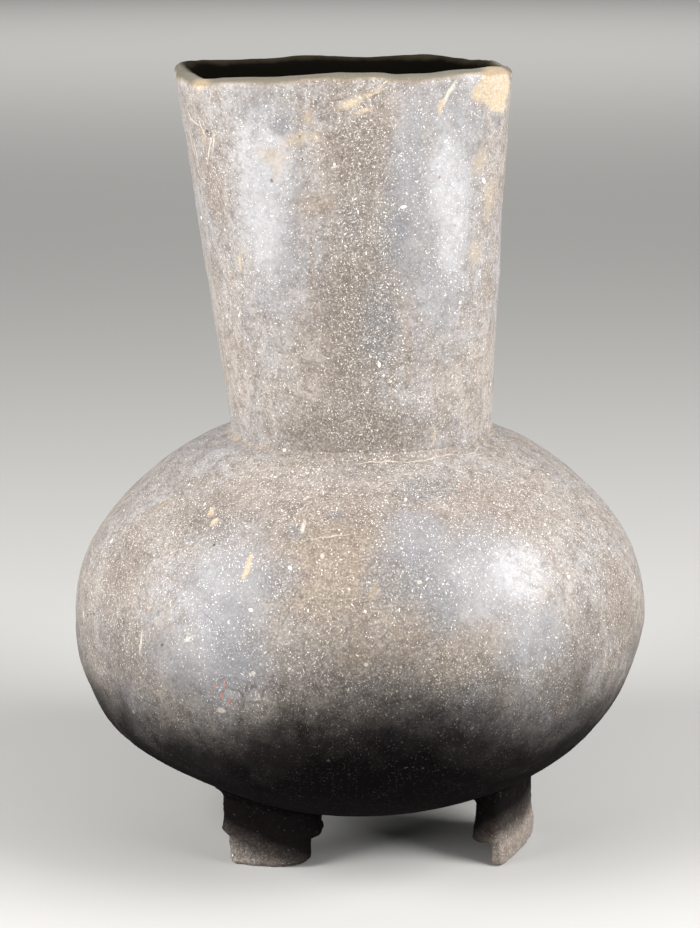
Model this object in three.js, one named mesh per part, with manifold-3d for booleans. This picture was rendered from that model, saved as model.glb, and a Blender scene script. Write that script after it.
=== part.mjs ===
// A hand-built pottery bottle on three stepped slab feet: a hollow oblate globe, a tall flaring neck
// luted to its shoulder, and three feet luted to its underside. Each joint has its bead of luting clay.
// Millimetres, +Z up. The origin is on the ground below the globe's axis, and the front faces -Y.
import * as THREE from "three";
import { mergeVertices } from "three/addons/utils/BufferGeometryUtils.js";
import Module from "manifold-3d";

// Globe
const globeRadius = 83;
const shoulderRise = 60.7; // from the widest level up to where the profile would close
const baseDrop = 55.7; // from the widest level down to the lowest point
const globeFullness = 2.05; // exponent of the profile: 2 is an ellipse, more is fuller
const globeWall = 6;
const baseWall = 8; // the floor is left thicker than the sides
const groundClearance = 12; // from the ground to the globe's lowest point
const globeOval = 0.006; // share by which the plan is stretched from side to side
const globeSag = 1.4; // how far the lower half slumped to the left

// Neck
const neckLength = 104.6;
const neckBaseRadius = 37.5;
const mouthHalfWidth = 46.3; // from flat to flat, as is the half depth
const mouthHalfDepth = 43.5;
const neckWall = 5.5;
const lipWall = 5;
const mouthSquareness = 3.6; // exponent of the mouth's plan: 2 is round, more is squarer
const mouthTurn = 7; // degrees that the mouth's flats are turned from the front, seen from above
const neckFlare = 1.13; // exponent of the taper: above 1 opens faster near the lip
const neckOffset = 0.8; // the foot of the neck sits this far right of the globe's axis
const mouthOffset = -5.4; // the mouth's centre, to the left, because the neck leans
const neckLean = 0.8; // exponent of the lean: below 1 leans most near the foot
const lipRise = 0.6; // how far the lip stands higher at the right, and lower at the left
const lipWarp = 0.55; // how far it is up at two opposite corners, and down at the other two
const lipWave = 0.25; // height of the finger waves along the lip
const lipWaves = 7;
const lipFade = 4; // exponent: above 1 keeps the tilt, warp and waves close to the lip

// Beads of luting clay, and the clearance between neighbouring solids
const neckBeadHeight = 3.4;
const neckBeadWidth = 2.8;
const footBeadHeight = 2.4;
const footBeadWidth = 2.2;
const beadEdge = 0.5; // thickness left at a bead's smeared edges
const seatGap = 0.3;

// Feet, all three
const footThickness = 11.5;
const toeThickness = 5.2; // below the step the slab is thinner, flush with its outer face
const footWaist = 0.7; // how far the slab draws in above its swollen step
const footSwell = 0.75; // share of the way from the step to the joint bead that the swelling takes
const footBow = 160; // radius that the outer face bends along
const footCorner = 4; // exponent of the plan's rounded corners
const footEdge = 1; // how far a foot's edges are worn round

// Left foot. A reach runs from the globe's axis to the middle of the slab.
const leftReach = 36.9;
const leftWidth = 29.5;
const leftToeWidth = 23.5;
const leftStepHeight = 9;
const leftWornCorner = 2.2; // how far the toe's right end is worn off the ground

// Right foot
const rightReach = 45.8;
const rightWidth = 33;
const rightToeWidth = 31;
const rightStepHeight = 6.5;

// Back foot
const backReach = 40;
const backWidth = 31;
const backToeWidth = 27;
const backStepHeight = 8;

// A direction is in degrees from the front, positive towards the right seen from the front. Facing is the
// direction that the outer face looks in.
const feet = [
  {
    name: "left_foot",
    direction: -43,
    facing: -8,
    reach: leftReach,
    width: leftWidth,
    toeWidth: leftToeWidth,
    stepHeight: leftStepHeight,
    wornCorner: leftWornCorner,
  },
  {
    name: "right_foot",
    direction: 69,
    facing: 69,
    reach: rightReach,
    width: rightWidth,
    toeWidth: rightToeWidth,
    stepHeight: rightStepHeight,
    wornCorner: 0,
  },
  {
    name: "back_foot",
    direction: -168,
    facing: -172,
    reach: backReach,
    width: backWidth,
    toeWidth: backToeWidth,
    stepHeight: backStepHeight,
    wornCorner: 0,
  },
];

// Steps of the facets
const aroundSteps = 60;
const globeSteps = 17;
const liningSteps = 13;
const neckSteps = 11;
const boreSteps = 8;
const lipSteps = 5;
const beadSteps = 5;
const footSteps = 32;
const cutterSteps = 36;
const undersidePasses = 5;

const globeCentreHeight = groundClearance + baseDrop;
const fired = new THREE.MeshStandardMaterial({ color: 0x8d8177, roughness: 0.55, metalness: 0 });
const smeared = new THREE.MeshStandardMaterial({ color: 0x9a8d80, roughness: 0.7, metalness: 0 });

const wasm = await Module();
wasm.setup();

// Closed surfaces from rings of points, and the change between them and cut solids

function fromTriangles(points, triangles) {
  const geometry = new THREE.BufferGeometry();
  geometry.setAttribute("position", new THREE.Float32BufferAttribute(points.flat(), 3));
  geometry.setIndex(triangles);
  geometry.computeVertexNormals();
  return geometry;
}

// Joins each ring to the next. The rings run so that each one's faces look away from the solid.
function bands(rings, closed) {
  const around = rings[0].length;
  const triangles = [];
  const count = closed ? rings.length : rings.length - 1;
  for (let row = 0; row < count; row++) {
    const low = row * around;
    const high = ((row + 1) % rings.length) * around;
    for (let step = 0; step < around; step++) {
      const next = (step + 1) % around;
      triangles.push(low + step, low + next, high + next);
      triangles.push(low + step, high + next, high + step);
    }
  }
  return triangles;
}

// A ring-shaped solid: its section is a closed loop, and each ring is one corner of that section.
function ringSolid(rings) {
  return fromTriangles(rings.flat(), bands(rings, true));
}

// A solid with a point or a flat at each end of its row of rings.
function cappedSolid(rings, startPoint, endPoint) {
  const around = rings[0].length;
  const points = [...rings.flat(), startPoint, endPoint];
  const triangles = bands(rings, false);
  const startIndex = points.length - 2;
  const endIndex = points.length - 1;
  const lastRing = (rings.length - 1) * around;
  for (let step = 0; step < around; step++) {
    const next = (step + 1) % around;
    triangles.push(startIndex, next, step);
    triangles.push(endIndex, lastRing + step, lastRing + next);
  }
  return fromTriangles(points, triangles);
}

function toSolid(geometry) {
  const bare = geometry.clone();
  bare.deleteAttribute("normal");
  const merged = mergeVertices(bare, 1e-3);
  return new wasm.Manifold(
    new wasm.Mesh({
      numProp: 3,
      vertProperties: merged.attributes.position.array,
      triVerts: new Uint32Array(merged.index.array),
    }),
  );
}

function toGeometry(solid) {
  const cut = solid.getMesh();
  const geometry = new THREE.BufferGeometry();
  const positions = new Float32Array(cut.numVert * 3);
  for (let i = 0; i < cut.numVert; i++) {
    positions.set(cut.vertProperties.subarray(i * cut.numProp, i * cut.numProp + 3), i * 3);
  }
  geometry.setAttribute("position", new THREE.BufferAttribute(positions, 3));
  geometry.setIndex(new THREE.BufferAttribute(cut.triVerts, 1));
  geometry.computeVertexNormals();
  return geometry;
}

function ringOf(count, pointAt) {
  return Array.from({ length: count }, (_, step) => pointAt((step / count) * 2 * Math.PI));
}

function evenly(count, start, end) {
  return Array.from({ length: count }, (_, i) => start + ((end - start) * i) / (count - 1));
}

// Globe

// The profile grown by a distance: radius and height at a turn from the lowest point, 0, to the top, pi.
function globeProfile(turn, grow) {
  const power = 2 / globeFullness;
  const rise = Math.cos(turn) > 0 ? -(baseDrop + grow) : shoulderRise + grow;
  return {
    radius: (globeRadius + grow) * Math.abs(Math.sin(turn)) ** power,
    height: globeCentreHeight + rise * Math.abs(Math.cos(turn)) ** power,
  };
}

// The turn at which the upper profile has this radius
function turnAtRadius(radius, grow) {
  return Math.PI - Math.asin((radius / (globeRadius + grow)) ** (globeFullness / 2));
}

// The turn at which the upper profile has this height
function turnAtHeight(height, grow) {
  const share = (height - globeCentreHeight) / (shoulderRise + grow);
  return Math.PI - Math.acos(share ** (globeFullness / 2));
}

// How far the globe slumped to the left at a height: nothing at its widest level or at its lowest point
function sagAt(height) {
  const depth = THREE.MathUtils.clamp((globeCentreHeight - height) / baseDrop, 0, 1);
  return globeSag * Math.sin(Math.PI * depth);
}

function ovalAt(radius) {
  return globeOval * (radius / globeRadius);
}

function globePoint(angle, radius, height) {
  return [
    radius * (1 + ovalAt(radius)) * Math.cos(angle) - sagAt(height),
    radius * (1 - ovalAt(radius)) * Math.sin(angle),
    height,
  ];
}

// The height of the globe's underside, grown by a distance, over a point of the ground.
// Sag and oval depend on the answer, so it is worked out again until it settles.
function undersideHeight(x, y, grow) {
  let height = groundClearance;
  let radius = Math.hypot(x, y);
  for (let pass = 0; pass < undersidePasses; pass++) {
    radius = Math.hypot((x + sagAt(height)) / (1 + ovalAt(radius)), y / (1 - ovalAt(radius)));
    const share = (radius / (globeRadius + grow)) ** globeFullness;
    height = globeCentreHeight - (baseDrop + grow) * (1 - share) ** (1 / globeFullness);
  }
  return height;
}

function globeRing(turn, grow) {
  const { radius, height } = globeProfile(turn, grow);
  return ringOf(aroundSteps, (angle) => globePoint(angle, radius, height));
}

const throatRadius = neckBaseRadius - neckWall;
const joinTurn = turnAtRadius(neckBaseRadius + neckOffset, 0);
const joinHeight = globeProfile(joinTurn, 0).height;

// The lining follows the outside, one wall in, and thickens towards the floor.
function liningRing(turn) {
  const { radius, height } = globeProfile(turn, -globeWall);
  const extra = Math.max(0, Math.cos(turn)) ** 2 * (baseWall - globeWall);
  return ringOf(aroundSteps, (angle) => globePoint(angle, radius, height + extra));
}

function globeGeometry() {
  const first = joinTurn / globeSteps;
  const outside = evenly(globeSteps, first, joinTurn).map((turn) => globeRing(turn, 0));
  const liningTop = turnAtRadius(throatRadius + neckOffset, -globeWall);
  const lining = evenly(liningSteps, liningTop, liningTop / liningSteps).map(liningRing);
  const throat = ringOf(aroundSteps, (angle) => [
    throatRadius * Math.cos(angle) + neckOffset,
    throatRadius * Math.sin(angle),
    joinHeight,
  ]);
  const lowest = [0, 0, groundClearance];
  const floor = [0, 0, groundClearance + baseWall];
  return cappedSolid([...outside, throat, ...lining], lowest, floor);
}

// The outside of the globe as a solid, grown by a distance, to cut what seats against it
function globeOutside(grow) {
  const first = Math.PI / cutterSteps;
  const rings = evenly(cutterSteps - 1, first, Math.PI - first).map((turn) => globeRing(turn, grow));
  const lowest = [0, 0, groundClearance - grow];
  const highest = [0, 0, globeCentreHeight + shoulderRise + grow];
  return toSolid(cappedSolid(rings, lowest, highest));
}

// Neck

// A plan curve between a circle and a rounded square, as a share of its half width
function squareness(angle, exponent) {
  const sum = Math.abs(Math.cos(angle)) ** exponent + Math.abs(Math.sin(angle)) ** exponent;
  return sum ** (-1 / exponent);
}

// How far the lip stands off its mean height
function lipHeight(angle) {
  const tilt = lipRise * Math.cos(angle) - lipWarp * Math.sin(2 * angle);
  return tilt + lipWave * Math.sin(lipWaves * angle);
}

// A point on the neck: share runs from its foot, 0, to its lip, 1, and inset goes into the wall.
function neckPoint(angle, share, inset) {
  const turn = THREE.MathUtils.degToRad(mouthTurn);
  const opened = share ** neckFlare;
  const plan = squareness(angle - turn, 2 + (mouthSquareness - 2) * share);
  const halfWidth = neckBaseRadius + (mouthHalfWidth - neckBaseRadius) * opened - inset;
  const halfDepth = neckBaseRadius + (mouthHalfDepth - neckBaseRadius) * opened - inset;
  const across = halfWidth * plan * Math.cos(angle - turn);
  const deep = halfDepth * plan * Math.sin(angle - turn);
  const centre = neckOffset + (mouthOffset - neckOffset) * share ** neckLean;
  return [
    across * Math.cos(turn) - deep * Math.sin(turn) + centre,
    across * Math.sin(turn) + deep * Math.cos(turn),
    joinHeight + neckLength * share + lipHeight(angle) * share ** lipFade,
  ];
}

function neckRing(share, inset) {
  return ringOf(aroundSteps, (angle) => neckPoint(angle, share, inset));
}

function neckGeometry() {
  const lipHalf = lipWall / 2;
  const lipBottom = 1 - lipHalf / neckLength;
  const outside = evenly(neckSteps, 0, lipBottom).map((share) => neckRing(share, 0));
  const lip = evenly(lipSteps + 2, 0, Math.PI)
    .slice(1, -1)
    .map((turn) => {
      const share = lipBottom + (lipHalf * Math.sin(turn)) / neckLength;
      return neckRing(share, lipHalf * (1 - Math.cos(turn)));
    });
  const bore = evenly(boreSteps, lipBottom, 0).map((share) =>
    neckRing(share, neckWall + (lipWall - neckWall) * share),
  );
  return ringSolid([...outside, ...lip, ...bore]);
}

// The bead in the corner between the neck and the shoulder. Its outside is a hollow curve.
function neckBeadGeometry() {
  const share = neckBeadHeight / neckLength;
  const outerRadius = neckBaseRadius + neckOffset + neckBeadWidth;
  const seatStart = turnAtHeight(joinHeight + seatGap, seatGap);
  const seatEnd = turnAtRadius(outerRadius, seatGap);
  const onNeck = [
    neckRing(share, -seatGap),
    neckRing(share / 2, -seatGap),
    neckRing((seatGap * 2) / neckLength, -seatGap),
  ];
  const onShoulder = evenly(3, seatStart, seatEnd)
    .slice(1)
    .map((turn) => globeRing(turn, seatGap));
  const rim = globeRing(seatEnd, seatGap + beadEdge);
  const top = neckRing(share, -(seatGap + beadEdge));
  const corner = neckRing(0, -(seatGap + beadEdge));
  const hollow = evenly(beadSteps, 0, 1)
    .slice(1, -1)
    .map((t) => rim.map((point, i) => quadratic(point, corner[i], top[i], t)));
  return ringSolid([...onNeck, ...onShoulder, rim, ...hollow, top]);
}

// A point along the curve that leaves start towards bend and arrives at end
function quadratic(start, bend, end, t) {
  return start.map((value, k) => {
    const low = value + (bend[k] - value) * t;
    const high = bend[k] + (end[k] - bend[k]) * t;
    return low + (high - low) * t;
  });
}

// Feet

// A foot's sections from the ground up to inside the globe. Each has its height, its half width and half
// thickness, and how far its outer face stands in from the slab's.
function footSections(foot) {
  const toe = [foot.toeWidth / 2, toeThickness / 2];
  const slab = [foot.width / 2, footThickness / 2];
  const stepTop = foot.stepHeight + footEdge;
  const swellTop = stepTop + (beadBottom(foot) - stepTop) * footSwell;
  return [
    { height: 0, half: [toe[0] - footEdge, toe[1] - footEdge], inset: footEdge },
    { height: footEdge, half: toe, inset: 0 },
    { height: foot.stepHeight, half: toe, inset: 0 },
    { height: foot.stepHeight, half: [slab[0] - footEdge, slab[1] - footEdge / 2], inset: 0 },
    { height: stepTop, half: slab, inset: 0 },
    { height: swellTop, half: waist(foot), inset: footWaist },
    { height: globeCentreHeight, half: waist(foot), inset: footWaist },
  ];
}

// Half width and half thickness of a foot above its swelling, up to the globe
function waist(foot) {
  return [foot.width / 2 - footWaist, footThickness / 2 - footWaist];
}

// How far a worn end of the toe stands off the ground
function wornLift(foot, along, height) {
  const towardsEnd = Math.max(0, along / (foot.toeWidth / 2));
  const towardsStep = Math.min(1, height / foot.stepHeight);
  return foot.wornCorner * towardsEnd ** 2 * (1 - towardsStep);
}

// A point of a section's plan. Its outer face bends back towards its ends.
function footPlan(half, angle, outerFace) {
  const plan = squareness(angle, footCorner);
  const along = half[0] * plan * Math.cos(angle);
  const bow = (along * along) / (2 * footBow);
  return [along, outerFace - half[1] - half[1] * plan * Math.sin(angle) - bow];
}

function footGeometry(foot, globe) {
  const rings = footSections(foot).map(({ height, half, inset }) =>
    ringOf(footSteps, (angle) => {
      const [along, out] = footPlan(half, angle, footThickness / 2 - inset);
      return placedOnFoot(foot, along, out, height + wornLift(foot, along, height));
    }),
  );
  const first = placedOnFoot(foot, 0, (footThickness - toeThickness) / 2, 0);
  const last = placedOnFoot(foot, 0, 0, globeCentreHeight);
  return toGeometry(toSolid(cappedSolid(rings, first, last)).subtract(globe));
}

// From a foot's own width, outward distance and height to the bottle's frame
function placedOnFoot(foot, along, out, height) {
  const direction = THREE.MathUtils.degToRad(foot.direction);
  const facing = THREE.MathUtils.degToRad(foot.facing);
  const x = foot.reach * Math.sin(direction) + out * Math.sin(facing) + along * Math.cos(facing);
  const y = -foot.reach * Math.cos(direction) - out * Math.cos(facing) + along * Math.sin(facing);
  return [x, y, height];
}

// A ring around a foot's head: away is measured from the foot's side and drop from the globe's underside.
function headRing(foot, away, drop) {
  const half = waist(foot).map((size) => size + away);
  return ringOf(footSteps, (angle) => {
    const [along, out] = footPlan(half, angle, half[1]);
    const [x, y] = placedOnFoot(foot, along, out, 0);
    return [x, y, undersideHeight(x, y, drop)];
  });
}

// The lowest point of the bead around a foot's head
function beadBottom(foot) {
  const heights = headRing(foot, seatGap, footBeadHeight).map((point) => point[2]);
  return Math.min(...heights);
}

// The bead in the corner between a foot and the globe. Its outside is a hollow curve.
function footBeadGeometry(foot) {
  const edge = seatGap + beadEdge;
  const low = headRing(foot, edge, footBeadHeight);
  const corner = headRing(foot, edge, edge);
  const rim = headRing(foot, footBeadWidth, edge);
  const hollow = evenly(beadSteps, 0, 1)
    .slice(1, -1)
    .map((t) => low.map((point, i) => quadratic(point, corner[i], rim[i], t)));
  const onGlobe = [headRing(foot, footBeadWidth, seatGap), headRing(foot, seatGap, seatGap)];
  return ringSolid([low, ...hollow, rim, ...onGlobe, headRing(foot, seatGap, footBeadHeight)]);
}

// Assembly

function piece(name, geometry, material) {
  const mesh = new THREE.Mesh(geometry, material);
  mesh.name = name;
  return mesh;
}

const bottle = new THREE.Group();
bottle.add(piece("globe_body", globeGeometry(), fired));
bottle.add(piece("neck", neckGeometry(), fired));
bottle.add(piece("neck_joint_bead", neckBeadGeometry(), smeared));

const seat = globeOutside(seatGap);
for (const foot of feet) {
  bottle.add(piece(foot.name, footGeometry(foot, seat), fired));
  bottle.add(piece(foot.name + "_joint_bead", footBeadGeometry(foot), smeared));
}

export default bottle;
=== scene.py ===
"""A hand-built pottery water bottle on three stepped slab feet, fired grey and full of crushed shell.

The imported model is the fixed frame. Each clay piece is modelled again here, with its hand-made surface, and
takes the place of its plain solid. Named lengths are millimetres and a direction is in degrees from the
front, positive towards the right. The pieces are modelled in millimetres and brought to metres at the end.
"""

import math

import bpy
import numpy as np
from mathutils import Euler, Matrix, Vector


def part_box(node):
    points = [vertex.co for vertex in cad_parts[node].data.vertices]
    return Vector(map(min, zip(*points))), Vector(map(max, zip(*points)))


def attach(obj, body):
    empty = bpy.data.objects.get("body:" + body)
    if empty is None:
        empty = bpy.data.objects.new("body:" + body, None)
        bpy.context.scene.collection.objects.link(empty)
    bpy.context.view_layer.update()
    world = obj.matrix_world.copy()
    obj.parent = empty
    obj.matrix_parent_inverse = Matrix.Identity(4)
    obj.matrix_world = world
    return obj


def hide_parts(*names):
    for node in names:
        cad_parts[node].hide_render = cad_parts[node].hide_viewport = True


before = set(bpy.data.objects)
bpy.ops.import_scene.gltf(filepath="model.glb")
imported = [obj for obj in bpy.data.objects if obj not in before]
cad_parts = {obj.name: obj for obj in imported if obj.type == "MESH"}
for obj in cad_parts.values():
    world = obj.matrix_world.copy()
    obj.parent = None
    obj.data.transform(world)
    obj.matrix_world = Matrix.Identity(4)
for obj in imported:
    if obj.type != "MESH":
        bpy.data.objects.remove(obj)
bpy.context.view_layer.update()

MM = 0.001

# The globe
GLOBE_RADIUS = 83.0
SHOULDER_RISE = 60.7
BASE_DROP = 55.7
GLOBE_FULLNESS = 2.05  # 2 is an ellipse, more is fuller
GLOBE_WALL = 6.0
BASE_WALL = 8.0
GLOBE_OVAL = 0.006  # wider than deep, by twice this share
GLOBE_SAG = 1.4  # how far the lower half slumped to the left
GROUND_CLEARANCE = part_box("globe_body")[0].z / MM
GLOBE_CENTRE = GROUND_CLEARANCE + BASE_DROP
JOIN_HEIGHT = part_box("globe_body")[1].z / MM
LINING_EDGE = (0.945, 0.965)  # between the lining and the outside, as a share of the outside's size

# The neck
NECK_LENGTH = 104.6
NECK_BASE_RADIUS = 37.5
MOUTH_HALF_WIDTH = 46.3
MOUTH_HALF_DEPTH = 43.5
NECK_WALL = 5.5
LIP_WALL = 5.0
MOUTH_SQUARENESS = 3.6  # 2 is round, more is squarer
MOUTH_TURN = 7.0
NECK_FLARE = 1.13  # 1 opens evenly, more opens later
NECK_OFFSET = 0.8
MOUTH_OFFSET = -5.4
NECK_LEAN = 0.8  # 1 leans evenly, less leans sooner
LIP_RISE = 0.6
LIP_WARP = 0.55
LIP_WAVE = 0.25
LIP_WAVES = 7
LIP_FADE = 4  # the higher, the nearer to the lip its rises and dips end
LIP_BAND = 6.0  # the lip's note runs from 1 at the crest to 0 this far below it
LIP_SMOKE_AND_SHADE = (0.4, 0.8)  # the bore's black, smoke and painted shade inside the neck, begins and is full this far into the lip's wall, as a share of it
LIP_SMOKE_AND_SHADE_BEHIND = 0.35  # at the back the black reaches over the crest, by this share
BEHIND = (-10, 30)  # from where the front of the mouth ends to where its back begins

# The lip's finger dips: direction, depth and half turn
LIP_DIPS = (
    (-46, -0.9, 9),
    (25, -0.6, 9),
    (-152, -0.7, 9),
    (147, 0.3, 10),
    (-4, 0.2, 14),
    (-174, 0.45, 12),
    (-142, -0.6, 11),
)

# Direction, height, depth, half turn and half height of what the potter's hands left
GLOBE_DENTS = (
    (-90, 108, -0.8, 40, 14),
    (-90, 118, 0.55, 40, 6),
    (-90, 67, -0.7, 40, 14),
    (-90, 48, -1.0, 40, 12),
    (-85, 40, 1.3, 30, 7),
    (-70, 25, -2.0, 35, 7),
    (90, 118, 0.55, 30, 6),
    (90, 90, 0.5, 40, 16),
    (90, 62, -0.4, 30, 8),
    (90, 31, 1.4, 30, 11),
    (90, 40, -0.3, 30, 10),
)
NECK_DENTS = (
    (80, 206, -0.9, 40, 20),
    (90, 140, 0.5, 40, 14),
    (-90, 143, -0.6, 40, 14),
    (-85, 208, -0.2, 40, 22),
)

# Uneven clay: how wide its swells are and how deep, coarse ones first
GLOBE_UNEVEN = ((26, 1.3), (7, 0.35))
NECK_UNEVEN = ((24, 1.0), (6, 0.35))
FOOT_UNEVEN = ((5, 0.9), (1.6, 0.45))
NECK_BEAD_UNEVEN = ((4, 0.25),)
FOOT_BEAD_UNEVEN = ((3, 0.5),)

# Near a joint the clay stays level up to the first length, and swells freely from the second
GLOBE_CALM = (4, 14)  # away from the neck's joint
FOOT_CALM = (25, 38)  # above the ground, for the globe over the feet
NECK_CALM = (4, 16)  # above the neck's joint

# The feet
FOOT_THICKNESS = 11.5
TOE_THICKNESS = 5.2
FOOT_WAIST = 0.7  # slimmer by this on each side under its head
FOOT_SWELL = 0.75  # it slims over this share of the height from its step to its head
WAIST_RUN = 3.0  # and over this much more
FOOT_BOW = 160.0  # radius that it is bent to
FOOT_CORNER = 4  # 2 is round, more is squarer
FOOT_EDGE = 1.0
FOOT_GRAIN = 0.5  # size of the remeshed faces
FOOT_WEAR = 4  # rounds of smoothing
HEAD_START = 11.0  # above this height a foot is stretched to meet the globe
HEAD_TOP = 30.0
HEAD_TUCK = 2.0  # a foot's head ends this far inside the globe's wall
FEET = (
    dict(name="left_foot", direction=-43, facing=-8, reach=36.9, width=29.5, toe=23.5, step=9.0, worn=2.2),
    dict(name="right_foot", direction=69, facing=69, reach=45.8, width=33.0, toe=31.0, step=6.5, worn=0),
    dict(name="back_foot", direction=-168, facing=-172, reach=40.0, width=31.0, toe=27.0, step=8.0, worn=0),
)

# The beads of luting clay
NECK_BEAD_RISE = 1.8
NECK_BEAD_REACH = 2.4
FOOT_BEAD_DROP = 2.6
FOOT_BEAD_REACH = 2.4
TUCK = 0.3  # a bead's edges end this far under the clay that they are smeared onto
BEAD_HOLLOW = 0.2  # how far a foot's bead stands off the corner that it fills
BEAD_DEPTH = 1.3  # how far a bead's hidden side lies under that clay

# Facets
AROUND = 240
FOOT_AROUND = 96
STEP = 1.8  # from level to level up a wall
LINING_STEP = 3.5
LIP_STEPS = 8
FILLET_STEPS = 7
FREE_STEPS = 20  # from clay that stays level to clay that swells freely
MERGED = 0.001  # points nearer than this become one
UNDERSIDE_ROUNDS = 5  # the sag depends on the height that is sought, so it is closed in on
REACH_ROUNDS = 30  # halvings that find where a direction meets the squared neck


# Colours and nodes


def linear(hexadecimal):
    """An sRGB colour such as "#8d8177" as a linear colour with alpha"""
    values = [int(hexadecimal[i : i + 2], 16) / 255 for i in (1, 3, 5)]
    shades = [v / 12.92 if v <= 0.04045 else ((v + 0.055) / 1.055) ** 2.4 for v in values]
    return (*shades, 1.0)


def add(tree, kind, inputs=None, out=0, stops=(), **settings):
    """Adds a node with its settings, and gives its first output or the one that out names.

    An input that is a socket is linked, and any other is set. stops are a ramp's places and values.
    """
    node = tree.nodes.new("ShaderNode" + kind)
    for name, value in settings.items():
        setattr(node, name, value)
    for index, (place, value) in enumerate(stops):
        if index > 1:
            node.color_ramp.elements.new(place)
        node.color_ramp.elements[index].position = place
        node.color_ramp.elements[index].color = (value, value, value, 1)
    for name, value in (inputs or {}).items():
        if isinstance(value, bpy.types.NodeSocket):
            tree.links.new(value, node.inputs[name])
        else:
            node.inputs[name].default_value = value
    return node.outputs[out]


# The forms of the walls


def shoulder_height(radius):
    """Height of the globe's upper half at a radius"""
    share = min(1.0, radius / GLOBE_RADIUS) ** GLOBE_FULLNESS
    return GLOBE_CENTRE + SHOULDER_RISE * (1 - share) ** (1 / GLOBE_FULLNESS)


def globe_radius(height):
    """The globe's radius at a height"""
    rise = height - GLOBE_CENTRE
    share = min(1.0, abs(rise) / (SHOULDER_RISE if rise > 0 else BASE_DROP))
    return GLOBE_RADIUS * (1 - share**GLOBE_FULLNESS) ** (1 / GLOBE_FULLNESS)


def sag(height):
    depth = np.clip((GLOBE_CENTRE - height) / BASE_DROP, 0, 1)
    return GLOBE_SAG * np.sin(np.pi * depth)


def underside(x, y):
    """Height of the globe's lower half over points of the ground"""
    height = np.full(np.shape(x), GROUND_CLEARANCE)
    radius = np.hypot(x, y)
    for _ in range(UNDERSIDE_ROUNDS):
        oval = GLOBE_OVAL * radius / GLOBE_RADIUS
        radius = np.hypot((x + sag(height)) / (1 + oval), y / (1 - oval))
        share = np.minimum(radius / GLOBE_RADIUS, 1) ** GLOBE_FULLNESS
        height = GLOBE_CENTRE - BASE_DROP * (1 - share) ** (1 / GLOBE_FULLNESS)
    return height


def profile_point(turn, inset):
    """Radius and height at a turn from the lowest point, 0, to the top, pi, moved in by an inset"""
    power = 2 / GLOBE_FULLNESS
    rise = -(BASE_DROP - inset) if math.cos(turn) > 0 else SHOULDER_RISE - inset
    radius = (GLOBE_RADIUS - inset) * abs(math.sin(turn)) ** power
    return radius, GLOBE_CENTRE + rise * abs(math.cos(turn)) ** power


def top_turn(radius, inset):
    share = radius / (GLOBE_RADIUS - inset)
    return math.pi - math.asin(share ** (GLOBE_FULLNESS / 2))


def globe_level(height, radius):
    """A level of the globe: its centre, its half width and its half depth"""
    oval = GLOBE_OVAL * radius / GLOBE_RADIUS
    return (-float(sag(height)), 0, height, radius * (1 + oval), radius * (1 - oval))


def neck_level(share, inset):
    """A level of the neck before it is squeezed: its centre, its half width and its half depth"""
    share_up = max(share, 0.0)
    opened = share_up**NECK_FLARE
    wide = NECK_BASE_RADIUS + (MOUTH_HALF_WIDTH - NECK_BASE_RADIUS) * opened - inset
    deep = NECK_BASE_RADIUS + (MOUTH_HALF_DEPTH - NECK_BASE_RADIUS) * opened - inset
    centre = NECK_OFFSET + (MOUTH_OFFSET - NECK_OFFSET) * share_up**NECK_LEAN
    return (centre, 0, JOIN_HEIGHT + NECK_LENGTH * share, wide, deep)


# Modelling


def evenly(start, end, step):
    count = max(2, round(abs(end - start) / step) + 1)
    return [start + (end - start) * i / (count - 1) for i in range(count)]


def start_ring(name, level, around, corner=2):
    """A ring to raise a wall from, selected in edit mode. A corner above 2 squares its plan."""
    x, y, height, wide, deep = level
    bpy.ops.object.select_all(action="DESELECT")
    bpy.ops.mesh.primitive_circle_add(vertices=around, radius=1)
    piece = bpy.context.active_object
    piece.name = name
    piece.data.name = name
    for vertex in piece.data.vertices:
        across, back = vertex.co.x, vertex.co.y
        square = (abs(across) ** corner + abs(back) ** corner) ** (-1 / corner)
        vertex.co = (x + across * square * wide, y + back * square * deep, height)
    bpy.ops.object.mode_set(mode="EDIT")
    bpy.ops.mesh.select_all(action="SELECT")
    return piece


def raise_wall(levels):
    """Extrudes the selected ring from the first level through the others"""
    for (x, y, height, wide, deep), (x2, y2, height2, wide2, deep2) in zip(levels, levels[1:]):
        bpy.ops.mesh.extrude_region_move(
            TRANSFORM_OT_translate={"value": (x2 - x, y2 - y, height2 - height)}
        )
        bpy.ops.transform.resize(value=(wide2 / wide, deep2 / deep, 1), center_override=(x2, y2, height2))


def close_pole(move):
    """Extrudes the selected ring and draws it together to a point"""
    bpy.ops.mesh.extrude_region_move(TRANSFORM_OT_translate={"value": move})
    bpy.ops.mesh.merge(type="CENTER")


def select_first_ring(piece, around):
    bpy.ops.mesh.select_all(action="DESELECT")
    bpy.ops.object.mode_set(mode="OBJECT")
    for vertex in piece.data.vertices[:around]:
        vertex.select = True
    bpy.ops.object.mode_set(mode="EDIT")


def close_up():
    """Merges what meets, turns the faces outwards and leaves edit mode"""
    bpy.ops.mesh.select_all(action="SELECT")
    bpy.ops.mesh.remove_doubles(threshold=MERGED)
    bpy.ops.mesh.normals_make_consistent(inside=False)
    bpy.ops.object.mode_set(mode="OBJECT")


def read_points(piece):
    points = np.empty(len(piece.data.vertices) * 3)
    piece.data.vertices.foreach_get("co", points)
    return points.reshape(-1, 3)


def write_points(piece, points):
    piece.data.vertices.foreach_set("co", points.ravel())
    piece.data.update()


def note(piece, name, values):
    """Keeps a number for each point of the surface, for the material to read"""
    piece.data.attributes.new(name, "FLOAT", "POINT").data.foreach_set("value", values)


def fade_in(values, start, end):
    share = np.clip((values - start) / (end - start), 0, 1)
    return share * share * (3 - 2 * share)


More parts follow.
